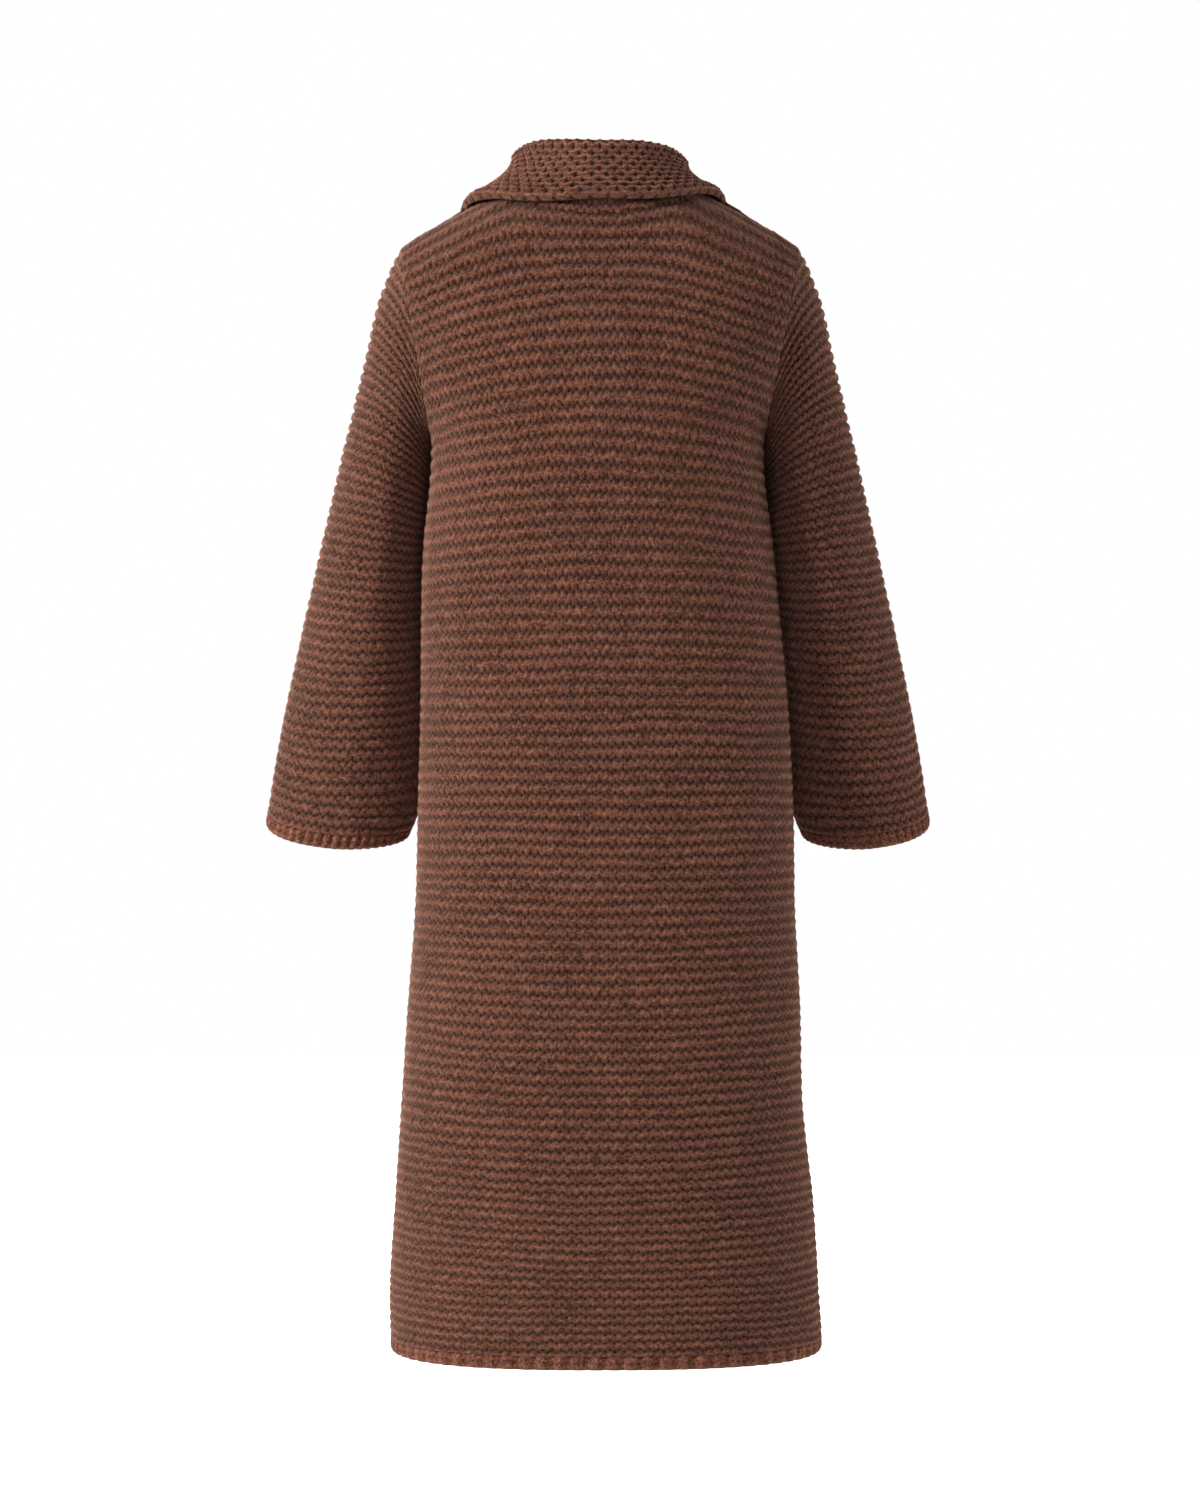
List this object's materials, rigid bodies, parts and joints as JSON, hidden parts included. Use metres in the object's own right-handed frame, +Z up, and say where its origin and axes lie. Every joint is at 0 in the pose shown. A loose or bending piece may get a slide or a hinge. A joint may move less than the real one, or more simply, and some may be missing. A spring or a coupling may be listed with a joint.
{
  "type": "knit coat",
  "caption": "Long hollow knit coat in garter stitch with wide set-in sleeves, a fold-over collar and ribbed edges, standing as worn.",
  "frame": {"origin": "base of the neck, midway between the two neck points of the shoulders, where the wearer holds the coat up", "axes": "+Z up, the wearer's front faces -Y and the back faces +Y, the wearer's left is +X"},
  "size_m": [0.6615, 0.31, 1.1758],
  "materials": {
    "brown_wool": "chunky heathered wool yarn, matt with a soft fuzzy nap"
  },
  "bodies": {
    "root": {"back": "brown_wool", "front_left": "brown_wool", "front_right": "brown_wool", "sleeve_left": "brown_wool", "sleeve_right": "brown_wool", "collar": "brown_wool", "hem_back": "brown_wool", "hem_front_left": "brown_wool", "hem_front_right": "brown_wool", "cuff_left": "brown_wool", "cuff_right": "brown_wool"}
  },
  "joints": []
}
